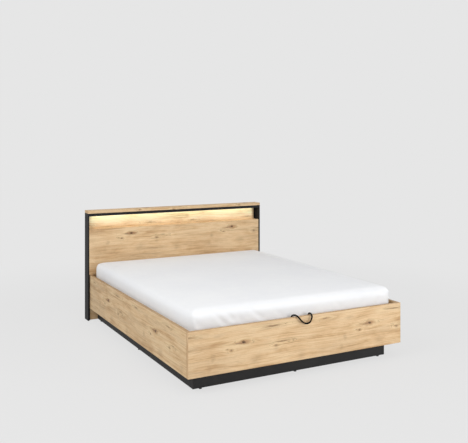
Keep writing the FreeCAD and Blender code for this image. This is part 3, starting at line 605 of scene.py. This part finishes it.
height = grain * 0.6 - fleck - glue * 0.5
dress(wood.surface(colour, 0.38 + grain * 0.15, height, 0.0002, 0.4, Coat_Weight=0.25 + grain * 0.1),
      "slats_left", "slats_right")
print("materials: plain boards, pine and slats")

# black powder coat of the platform frame
powder = Finish("powderCoat", IOR=1.5)
x, y, z = powder.place()
peel = powder.noise(x, y, z, scale=430, detail=1)
grainy = powder.noise(x, y, z, scale=1900, detail=1)
dust = powder.step(powder.noise(x, y, z, scale=24, detail=5, roughness=0.7), 0.56, 0.74)
colour = powder.ramp(grainy * 0.4 + peel * 0.6, (0.35, shade(30, 30, 32)), (0.66, shade(42, 42, 44)))
colour = powder.blend(dust * 0.25, colour, shade(92, 90, 86))
powderCoat = powder.surface(colour, 0.42 + peel * 0.12 + dust * 0.2, peel + grainy * 0.35, 0.00022, 0.6)
dress(powderCoat, "platform_side_tubes", "platform_foot_tube", "platform_head_tube",
      "platform_centre_tube", "mattress_stops", "cord_tab")


# zinc plate, with rolling lines on plates and turning lines on pins and screws
def zinc(name, turned):
    plate = Finish(name, Metallic=1.0)
    x, y, z = plate.place()
    if turned:
        lines = plate.noise(x * 2600.0, y * 240.0, z * 240.0)
    else:
        lines = plate.noise(x * 900.0, y * 26.0, z * 900.0, detail=3)
    bloom = plate.noise(x, y, z, scale=34, detail=4, roughness=0.6)
    stain = plate.step(plate.noise(x, y, z, scale=11, detail=4, roughness=0.65), 0.52, 0.74)
    colour = plate.ramp(bloom * 0.7 + lines * 0.3, (0.32, shade(168, 170, 174)),
                        (0.66, shade(206, 206, 202)))
    colour = plate.blend(stain * 0.35, colour, shade(186, 178, 150))
    roughness = 0.26 + lines * 0.14 + bloom * 0.14 + stain * 0.12
    return plate.surface(colour, roughness, lines + bloom * 0.4, 0.00008)


dress(zinc("zincPlates", turned=False), "lift_base_left", "lift_base_right", "main_arm_left",
      "main_arm_right", "rear_arm_left", "rear_arm_right", "platform_bracket_left",
      "platform_bracket_right", "corner_angles")
dress(zinc("zincPins", turned=True), "base_pins", "strut_studs", "bracket_pins", "bracket_bolts",
      "box_screws", "headboard_screws")

# gas struts: enamelled tube with a rolled groove near each end, polished rod
strut = {
    "pivot": (-0.0155, 0.148),
    "rodPivot": (0.3125, 0.152),
    "side": 0.784,
    "grooves": (0.014, 0.282),  # from the tube's pivot, along the bed
    "rod": 0.005,
}
enamel = Finish("strutEnamel", IOR=1.5)
x, y, z = enamel.place()
peel = enamel.noise(x, y, z, scale=240, detail=1)
scuff = enamel.step(enamel.noise(x * 30.0, y * 4.0, z * 30.0, scale=9, detail=4), 0.6, 0.72)
grooveAndShade = 0.0
for spot in strut["grooves"]:
    grooveAndShade = enamel.most(grooveAndShade, enamel.step(abs(y - strut["pivot"][0] - spot), 0.0022, 0.0004))
colour = enamel.blend(scuff * 0.22, shade(30, 30, 32), shade(84, 84, 86))
# painted shade: the groove's colour is darkened, for the shade in its hollow
colour = enamel.blend(grooveAndShade * 0.5, colour, shade(12, 12, 13))
dress(enamel.surface(colour, 0.22 + peel * 0.08 + scuff * 0.22, peel * 0.3 - grooveAndShade, 0.0007, 0.7),
      "strut_tube_left", "strut_tube_right")
chrome = Finish("strutChrome", Metallic=1.0)
x, y, z = chrome.place()
ground = chrome.noise(x * 50.0, y * 900.0, z * 50.0, detail=1)
film = chrome.noise(x, y, z, scale=40, detail=3)
colour = chrome.ramp(film, (0.3, shade(214, 216, 220)), (0.7, shade(232, 232, 234)))
dress(chrome.surface(colour, 0.05 + ground * 0.05 + film * 0.06, ground, 0.00001, 0.3),
      "strut_rod_left", "strut_rod_right")
print("materials: steel, zinc and struts")

# light: channel, milky cover, tape, driver, inlet and lead
lightParts = {
    "led": 0.01667,  # pitch of the lamps on the tape
    "coverStrength": 3.0,
    "cover": shade(255, 243, 214),
}
channel = Finish("channelAnodised", Metallic=1.0)
x, y, z = channel.place()
drawn = channel.noise(x * 3.0, y * 2400.0, z * 2400.0)
film = channel.noise(x, y, z, scale=20)
colour = channel.ramp(drawn * 0.6 + film * 0.4, (0.3, shade(186, 187, 189)), (0.7, shade(212, 212, 213)))
dress(channel.surface(colour, 0.3 + drawn * 0.12, drawn, 0.00005), "light_profile")

cover = Finish("milkyCover", IOR=1.5, Emission_Strength=lightParts["coverStrength"])
x, y, z = cover.place()
dots = cover.sum("COSINE", x * (2 * math.pi / lightParts["led"])) * 0.5 + 0.5
milk = cover.noise(x, y, z, scale=60)
glow = cover.ramp(dots * 0.35 + milk * 0.65, (0.2, shade(255, 236, 198)), (0.8, lightParts["cover"]))
colour = cover.ramp(milk, (0.3, shade(238, 234, 222)), (0.7, shade(246, 243, 234)))
dress(cover.surface(colour, 0.5, milk, 0.0001, 0.3, Emission_Color=glow), "light_diffuser")

tape = Finish("lightTape", IOR=1.5)
x, y, z = tape.place()
beat = abs(tape.sum("WRAP", x, lightParts["led"] / 2, -lightParts["led"] / 2))
lampBody = tape.step(beat, 0.0026, 0.0023)
pads = tape.step(abs(beat - 0.0055), 0.001, 0.0007)
fine = tape.noise(x, y, z, scale=500)
colour = tape.blend(fine * 0.15, shade(236, 235, 228), shade(206, 204, 196))
colour = tape.blend(pads * 0.8, colour, shade(196, 150, 92))
colour = tape.blend(lampBody * 0.9, colour, shade(240, 214, 120))
dress(tape.surface(colour, 0.4 + fine * 0.1, lampBody, 0.0003, 0.6), "light_tape")


def moulded(name, deep, pale, rough, grainSize, relief):
    skin = Finish(name, IOR=1.47)
    x, y, z = skin.place()
    spark = skin.noise(x, y, z, scale=grainSize, roughness=0.6)
    flow = skin.noise(x, y * 1.6, z, scale=22, detail=3, distortion=0.8)
    colour = skin.ramp(spark * 0.45 + flow * 0.55, (0.34, deep), (0.66, pale))
    return skin.surface(colour, rough + spark * 0.14 + flow * 0.06, spark, relief)


mouldings = {
    # node: material, deep, pale, roughness, grain, relief
    "light_driver": ("driverHousing", shade(222, 222, 217), shade(234, 234, 230), 0.4, 700, 0.0001),
    "lead_clips": ("leadClips", shade(218, 218, 212), shade(232, 232, 228), 0.34, 400, 0.00006),
    "light_inlet": ("inletPlastic", shade(30, 30, 31), shade(42, 42, 43), 0.36, 800, 0.0001),
    "glide_feet": ("glidePlastic", shade(26, 26, 27), shade(38, 38, 38), 0.45, 500, 0.00015),
    "slat_holders": ("slatHolders", shade(28, 28, 30), shade(40, 40, 42), 0.42, 650, 0.00014),
    "light_lead": ("leadSheath", shade(24, 24, 25), shade(36, 36, 36), 0.48, 900, 0.00008),
}
skins = {node: moulded(*values) for node, values in mouldings.items()}
for node, skin in skins.items():
    dress(skin, node)
print("materials: light parts and mouldings")

# braided loop
braid = {
    "strand": 0.0021,
    "dark": shade(4, 3, 3),
    "pale": shade(14, 11, 10),
}


def braided(name):
    cloth = Finish(name, IOR=1.4, Specular_IOR_Level=0.12, Sheen_Weight=0.05, Sheen_Roughness=0.5)
    x, y, z = cloth.place()
    turns = 2 * math.pi / braid["strand"]
    along = x * 0.8 + z
    across = x * 0.8 - z + y * 0.5
    weave = cloth.sum("SINE", along * turns) * cloth.sum("SINE", across * turns)
    fuzz = cloth.noise(x, y, z, scale=2200)
    height = weave * 0.35 + 0.5 + (fuzz - 0.5) * 0.4
    # painted shade and highlight: the weave's hollows are darker and its crests paler
    colour = cloth.ramp(height, (0.15, braid["dark"]), (0.85, braid["pale"]))
    return cloth.surface(colour, 0.78 + fuzz * 0.12, height, 0.0004, 0.8)


cordCurve.materials.append(braided("cordBraid"))
dress(braided("knotBraid"), "cord_knots")

# mattress in its white stretch cover
mattress = {
    "voxel": 0.016,
    "inset": 0.002,  # it starts this much inside, and swells out again
    "mass": 0.3,
    "pressure": 4.0,
    "frames": 20,
    "cap": 0.006,  # the cloth moves this far at most
    "headRadii": (0.026, 0.014, 0.026),  # across, along, down
    "footRadii": (0.046, 0.104, 0.056),
    "squareness": 9,
    "blendLength": 0.6,
    "still": 0.012,  # its underside stays flat up to this height
    "faceDepth": 0.004,  # the foot face's creases are full down to this depth
    "fade": 0.05,  # and both fade over this length
    # creases in the foot face: upper end, lower end, half width, depth
    "creases": [
        ((-0.775, 0.462), (-0.738, 0.4), 0.01, 0.008),
        ((-0.64, 0.482), (-0.566, 0.4), 0.011, 0.0135),
        ((-0.562, 0.478), (-0.498, 0.42), 0.011, 0.012),
        ((-0.48, 0.46), (-0.44, 0.4), 0.01, 0.008),
        ((-0.372, 0.47), (-0.286, 0.405), 0.012, 0.0125),
        ((-0.18, 0.44), (-0.13, 0.398), 0.011, 0.004),
        ((0.3, 0.445), (0.345, 0.4), 0.012, 0.004),
        ((0.56, 0.462), (0.505, 0.4), 0.011, 0.0055),
        ((0.7, 0.47), (0.655, 0.4), 0.011, 0.0065),
    ],
    # right and left side: how far it bulges, and the way from the foot end to where it does so in full
    "swell": ((0.0075, 1.8), (0.013, 0.12)),
    "gathers": 0.0018,  # ripples of the cover near the corners
    "gatherReach": 0.16,
    "sideGathers": (215.0, 2.0),  # turn along the side, and lean with the height
    "endGathers": (205.0, 2.4),
    "edge": 0.04,  # a side or end reaches this far in
    "beyond": ((-0.0135, 0.008), (-0.0004, 0.002)),  # furthest past the solid, across and along
}
low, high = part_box("mattress")
middleOfBed = (low + high) / 2


def roundedIn(spot):
    # the cover's corners: wide and soft at the foot end, closer at the head end
    nearFoot = clamped(1.0 - (spot.y - low.y) / mattress["blendLength"])
    nearFoot = nearFoot * nearFoot * (3 - 2 * nearFoot)
    radii = [a + (b - a) * nearFoot for a, b in zip(mattress["headRadii"], mattress["footRadii"])]
    endWay = -1 if spot.y < middleOfBed.y else 1
    sideWay = -1 if spot.x < 0 else 1
    inset = mattress["inset"]
    inside = [
        high.x - inset - sideWay * spot.x,
        (high.y - inset - spot.y) if endWay > 0 else (spot.y - low.y - inset),
        high.z - inset - spot.z,
    ]
    into = [max(0.0, radius - gap) / radius for radius, gap in zip(radii, inside)]
    # upright corners stay square, as the foam is, and only the top edge is round
    power = mattress["squareness"]
    plan = (into[0] ** power + into[1] ** power) ** (1 / power)
    size = math.hypot(plan, into[2])
    if size <= 1.0:
        return spot
    for index in range(3):
        if into[index] > 0.0:
            inside[index] = radii[index] * (1.0 - into[index] / size)
    x = sideWay * (high.x - inset - inside[0])
    y = high.y - inset - inside[1] if endWay > 0 else low.y + inset + inside[1]
    return Vector((x, y, high.z - inset - inside[2]))


def creaseDepth(x, z):
    total = 0.0
    for (x0, z0), (x1, z1), width, depth in mattress["creases"]:
        lengthSquared = (x1 - x0) ** 2 + (z1 - z0) ** 2
        held = clamped(((x - x0) * (x1 - x0) + (z - z0) * (z1 - z0)) / lengthSquared)
        gap = math.hypot(x - x0 - held * (x1 - x0), z - z0 - held * (z1 - z0))
        side = (x - x0) * (z1 - z0) - (z - z0) * (x1 - x0)
        swell = math.exp(-((gap / width) ** 2))
        lip = math.exp(-(((gap - 2.0 * width) / width) ** 2)) if side > 0 else 0.0
        total += depth * (swell - 0.45 * lip) * (0.35 + 0.65 * held)
    return total


def gatherDepth(along, height, near, turns, lean):
    return max(0.0, math.sin(along * turns + height * lean) + 0.6) * near * mattress["gathers"]


def settleCover(mesh, start):
    # caps how far the cloth has moved, keeps its underside flat, and adds creases, bulge and gathers
    for vertex, first in zip(mesh.vertices, start):
        moved = vertex.co - first
        if moved.length > mattress["cap"]:
            moved = moved * (mattress["cap"] / moved.length)
        spot = first + moved * clamped((first.z - low.z - mattress["still"]) / mattress["fade"])
        fromEdge = high.x - abs(spot.x)
        toFoot = spot.y - low.y
        toHead = high.y - spot.y
        inFace = clamped(1.0 - (toFoot - mattress["faceDepth"]) / mattress["fade"])
        if inFace > 0.0:
            spot.y += creaseDepth(spot.x, spot.z) * inFace
        height = (spot.z - low.z) / (high.z - low.z)
        soft = math.sin(math.pi * clamped(height)) ** 0.5
        cornerGap = max(fromEdge, min(toFoot, toHead))
        near = math.exp(-((cornerGap / mattress["gatherReach"]) ** 2)) * soft
        if fromEdge < mattress["edge"]:
            bulge, way = mattress["swell"][spot.x < 0]
            bulge *= soft * min(1.0, toFoot / way)
            gather = gatherDepth(spot.y, height, near, *mattress["sideGathers"])
            spot.x += math.copysign(1.0, spot.x) * (bulge - gather)
        if toHead < mattress["edge"]:
            spot.y -= gatherDepth(spot.x, height, near, *mattress["endGathers"])
        for axis, (under, over) in enumerate(mattress["beyond"]):
            spot[axis] = clamped(spot[axis], low[axis] + under, high[axis] + over)
        spot.z = max(spot.z, low.z)
        vertex.co = spot


def coverFabric():
    cloth = Finish("stretchCover", IOR=1.4, Specular_IOR_Level=0.25, Sheen_Weight=0.15,
                   Sheen_Roughness=0.6)
    x, y, z = cloth.place()
    ribs = cloth.sum("SINE", (x + y * 0.02) * 3900.0) * cloth.sum("SINE", y * 3300.0) * 0.5 + 0.5
    yarn = cloth.noise(x, y, z, scale=1500, roughness=0.6)
    quilt = cloth.noise(x, y, z * 1.6, scale=16, detail=3)
    cloud = cloth.noise(x, y, z, scale=2.3)
    colour = cloth.ramp(cloud * 0.5 + quilt * 0.3 + yarn * 0.2, (0.32, shade(238, 239, 242)),
                        (0.68, shade(244, 245, 246)))
    # underneath, inside the cover's hem, the pale ticking shows
    inside = cloth.least(high.x - abs(x), cloth.least(y - low.y, high.y - y))
    under = cloth.step(z, low.z + 0.02, low.z + 0.012)
    ticking = cloth.step(inside, 0.086, 0.089) * under
    hem = cloth.step(abs(inside - 0.083), 0.007, 0.005) * under
    weave = cloth.sum("SINE", (x + y) * 900.0) * cloth.sum("SINE", (x - y) * 900.0)
    colour = cloth.blend(ticking * (0.75 + weave * 0.2), colour, shade(206, 204, 198))
    colour = cloth.blend(hem * 0.35, colour, shade(196, 197, 200))
    pleats = cloth.sum("SINE", (x + y) * 520.0) * hem
    height = ribs * 0.25 + yarn * 0.35 + quilt * 1.6 * (1.0 - ticking) + pleats * 1.5
    height = height + weave * ticking * 0.6
    return cloth.surface(colour, 0.84 + yarn * 0.1, height, 0.0006, 0.45)


def applyModifiers(piece):
    graph = bpy.context.evaluated_depsgraph_get()
    applied = bpy.data.meshes.new_from_object(piece.evaluated_get(graph))
    piece.modifiers.clear()
    piece.data = applied


coverPiece = linked("mattressCover", nodes["mattress"].data.copy())
coverPiece.data.materials.clear()
remesh = coverPiece.modifiers.new("even", "REMESH")
remesh.mode = "VOXEL"
remesh.voxel_size = mattress["voxel"]
bpy.context.view_layer.update()
applyModifiers(coverPiece)
for vertex in coverPiece.data.vertices:
    away = vertex.co - middleOfBed
    for index in range(3):
        half = (high[index] - low[index]) / 2
        vertex.co[index] = middleOfBed[index] + away[index] * (half - mattress["inset"]) / half
    vertex.co = roundedIn(vertex.co.copy())
startShape = [vertex.co.copy() for vertex in coverPiece.data.vertices]
print("mattress cover:", len(startShape), "points")
cloth = coverPiece.modifiers.new("swell", "CLOTH")
settings = cloth.settings
settings.quality = 5
settings.mass = mattress["mass"]
settings.use_pressure = True
settings.uniform_pressure_force = mattress["pressure"]
settings.effector_weights.gravity = 0.0
cloth.point_cache.frame_start = 1
cloth.point_cache.frame_end = mattress["frames"]
scene = bpy.context.scene
for step in range(1, mattress["frames"] + 1):
    scene.frame_set(step)
applyModifiers(coverPiece)
scene.frame_set(1)
print("mattress cover: cloth settled")
settleCover(coverPiece.data, startShape)
for face in coverPiece.data.polygons:
    face.use_smooth = True
smooth = coverPiece.modifiers.new("smooth", "SUBSURF")
smooth.levels = 1
smooth.render_levels = 1
keepPiece(coverPiece, "platform", "mattress_fabric", coverFabric())
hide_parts("mattress")


# small pieces that the CAD leaves out
def meshPiece(name, form, body, slot, material, smooth=True):
    data = bpy.data.meshes.new(name)
    bmesh.ops.recalc_face_normals(form, faces=form.faces)
    form.to_mesh(data)
    form.free()
    for face in data.polygons:
        face.use_smooth = smooth
    return keepPiece(linked(name, data), body, slot, material)


def join(form, one, two):
    # faces between two closed loops of points
    for corner in range(len(one)):
        after = (corner + 1) % len(one)
        form.faces.new((one[corner], one[after], two[after], two[corner]))


weld = {
    "size": 0.0026,
    "ripple": 0.0024,
    "rippleDepth": 0.14,
    "uneven": 0.04,
    "taper": 0.003,  # length over which an end grows to full size
    "margin": 0.0015,
    "sides": 8,
}


def addBead(form, start, end):
    # a run of weld metal from start to end, with its ripples
    start, end = Vector(start), Vector(end)
    way = (end - start).normalized()
    side = way.orthogonal().normalized()
    up = way.cross(side)
    length = (end - start).length
    count = max(4, int(length / (weld["ripple"] / 3)))
    turns = [2 * math.pi * corner / weld["sides"] for corner in range(weld["sides"])]
    rings = []
    for index in range(count + 1):
        along = length * index / count
        taper = math.sqrt(clamped(min(along, length - along) / weld["taper"]))
        rippled = weld["rippleDepth"] * math.sin(2 * math.pi * along / weld["ripple"])
        radius = weld["size"] * (0.25 + 0.75 * taper)
        radius *= 1.0 + rippled + steady.uniform(-weld["uneven"], weld["uneven"])
        centre = start + way * along
        rings.append([form.verts.new(centre + (side * math.cos(turn) + up * math.sin(turn)) * radius)
                      for turn in turns])
    for one, two in zip(rings, rings[1:]):
        join(form, one, two)
    form.faces.new(rings[0])
    form.faces.new(rings[-1])


beads = bmesh.new()
steady = random.Random(7)
footLow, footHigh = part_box("platform_foot_tube")
headLow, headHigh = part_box("platform_head_tube")
midLow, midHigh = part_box("platform_centre_tube")
z0 = footLow.z + weld["margin"]
z1 = footHigh.z - weld["margin"]
for lowEnd, highEnd, y in ((footLow, footHigh, footHigh.y), (headLow, headHigh, headLow.y),
                           (midLow, midHigh, midLow.y), (midLow, midHigh, midHigh.y)):
    for x in (lowEnd.x, highEnd.x):
        addBead(beads, (x, y, z0), (x, y, z1))
for x in (footLow.x, footHigh.x):
    for lowEnd, highEnd in ((footLow, footHigh), (headLow, headHigh)):
        height = lowEnd.z + 0.001
        addBead(beads, (x, lowEnd.y + 0.004, height), (x, highEnd.y - 0.004, height))
tabLow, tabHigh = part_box("cord_tab")
addBead(beads, (tabLow.x + 0.01, tabHigh.y, tabLow.z), (tabHigh.x - 0.01, tabHigh.y, tabLow.z))
meshPiece("platformWelds", beads, "platform", "frame_steel", powderCoat)


def turnedRing(form, centre, way, profile, parts=40):
    # a ring turned about the line through centre: profile is (along, radius) pairs, closed
    side = way.orthogonal().normalized()
    up = way.cross(side)
    loops = []
    for index in range(parts):
        turn = 2 * math.pi * index / parts
        out = side * math.cos(turn) + up * math.sin(turn)
        loops.append([form.verts.new(centre + way * along + out * radius) for along, radius in profile])
    for one, two in zip(loops, loops[1:] + loops[:1]):
        join(form, one, two)


# a wiper ring stands in the mouth of each strut's tube
wiper = {
    "gap": 0.0004,  # round the rod
    "bevel": 0.0002,
    # along the rod, radius
    "outer": [(-0.001, 0.0078), (0.0006, 0.0078), (0.0012, 0.007), (0.0016, 0.006)],
}
seals = bmesh.new()
pivot = Vector((0, *strut["pivot"]))
strutWay = (Vector((0, *strut["rodPivot"])) - pivot).normalized()
mouth = (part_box("strut_tube_right")[1].y - pivot.y) / strutWay.y
inner = strut["rod"] + wiper["gap"]
wiperProfile = [(wiper["outer"][0][0], inner), *wiper["outer"],
                (wiper["outer"][-1][0], inner + wiper["bevel"])]
for side in (-1, 1):
    centre = Vector((side * strut["side"], pivot.y, pivot.z)) + strutWay * mouth
    turnedRing(seals, centre, strutWay, wiperProfile)
meshPiece("strutSeals", seals, "strut_tubes", "dark_plastic", skins["slat_holders"])

# a thin cover strip lies over the joint between the two floor panels
jointStrip = {
    "half": 0.014,
    "rise": 0.0016,
    "sections": (-0.745, -0.4, 0.0, 0.4, 0.745),
    "round": 0.0009,
}
strip = bmesh.new()
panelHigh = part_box("floor_panel_foot")[1]
outline = [(-jointStrip["half"], 0.0)]
for turn in range(0, 91, 15):
    angle = math.radians(turn)
    outline.append((-jointStrip["half"] + jointStrip["round"] * 3 * (1 - math.cos(angle)),
                    jointStrip["rise"] - jointStrip["round"] * (1 - math.sin(angle))))
outline += [(-across, rise) for across, rise in reversed(outline)]
sections = [[strip.verts.new((x, panelHigh.y + across, panelHigh.z + rise)) for across, rise in outline]
            for x in jointStrip["sections"]]
for one, two in zip(sections, sections[1:]):
    join(strip, one, two)
strip.faces.new(sections[0])
strip.faces.new(sections[-1])
meshPiece("floorJointStrip", strip, "root", "dark_plastic", skins["slat_holders"])

# a thin black edging laps over the right end of the headboard's front panel
endEdging = {
    "wide": 0.006,
    "proud": 0.0004,
    "sunk": 0.0002,
}
edging = bmesh.new()
boardLow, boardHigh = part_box("headboard_front_panel")
edgingLow = Vector((boardHigh.x - endEdging["wide"], boardLow.y - endEdging["proud"], boardLow.z))
edgingHigh = Vector((boardHigh.x, boardLow.y + endEdging["sunk"], boardHigh.z))
bmesh.ops.create_cube(edging, size=1.0, matrix=Matrix.Translation((edgingLow + edgingHigh) / 2)
                      @ Matrix.Diagonal((*(edgingHigh - edgingLow), 1.0)))
foil = Finish("edgingFoil", IOR=1.45, Specular_IOR_Level=0.2)
grit = foil.noise(*foil.place(), scale=500)
foil.set(Base_Color=foil.ramp(grit, *zip((0.3, 0.7), blackFace["frame"])), Roughness=0.52 + grit * 0.14)
meshPiece("endEdging", edging, "root", "black_board", foil.material, smooth=False)
print("small pieces added")

# floor, light and background
studio = {
    "background": (*shade(230, 230, 230), 1.0),
    "ambient": 0.49,
    "floorKeepsBackground": 0.86,
    "fade": (1.6, 4.2),  # from here the floor fades into the background
    "floor": (60.0, -0.0005),  # half its width, and its height
}
half, level = studio["floor"]
floorMesh = bpy.data.meshes.new("floor")
corners = [(x * half, y * half, level) for x, y in ((-1, -1), (1, -1), (1, 1), (-1, 1))]
floorMesh.from_pydata(corners, [], [(0, 1, 2, 3)])
floor = linked("floor", floorMesh)
ground = Finish("ground", Roughness=0.9, Specular_IOR_Level=0.0, Base_Color=studio["background"])
x, y, z = ground.place()
distance = ground.sum("SQRT", x * x + y * y)
away = ground.step(distance, *studio["fade"], studio["floorKeepsBackground"], 1.0)
glowing = ground.node("Emission", values={0: studio["background"], 1: 1.0})
lit = Wire(ground, ground.shader.outputs[0])
mixed = ground.node("MixShader", values={0: ground.seen() * away, 1: lit, 2: glowing})
ground.plug(ground.tree.nodes["Material Output"].inputs[0], mixed)
floorMesh.materials.append(ground.material)

world = bpy.data.worlds.new("studio")
bpy.context.scene.world = world
world.use_nodes = True
sky = Nodes(world.node_tree)
ambient = sky.tree.nodes["Background"]
ambient.inputs[0].default_value = (1.0, 1.0, 1.0, 1.0)
ambient.inputs[1].default_value = studio["ambient"]
backdrop = sky.node("Background", values={0: studio["background"], 1: 1.0})
mixed = sky.node("MixShader", values={0: sky.seen(), 1: Wire(sky, ambient.outputs[0]), 2: backdrop})
sky.plug(sky.tree.nodes["World Output"].inputs[0], mixed)

lamps = {
    # name: place, what it looks at, size, power
    "front": ((2.1, -4.9, 1.15), (0.0, -0.6, 0.4), 2.0, 75),
    "left": ((-4.0, -1.4, 3.9), (0.0, -0.2, 0.4), 2.2, 98),
    "above": ((-0.4, -2.8, 4.2), (0.0, -0.4, 0.4), 2.4, 36),
    "right": ((4.6, 1.6, 3.4), (0.0, 0.0, 0.4), 3.0, 8),
}
for name, (place, target, size, power) in lamps.items():
    lamp = bpy.data.lights.new(name, "AREA")
    lamp.shape = "SQUARE"
    lamp.size = size
    lamp.energy = power
    holder = linked(name + "Lamp", lamp)
    holder.location = place
    holder.rotation_euler = (Vector(target) - Vector(place)).to_track_quat("-Z", "Y").to_euler()
bpy.context.scene.view_settings.view_transform = "Standard"
print("light and background set")

bpy.context.view_layer.update()
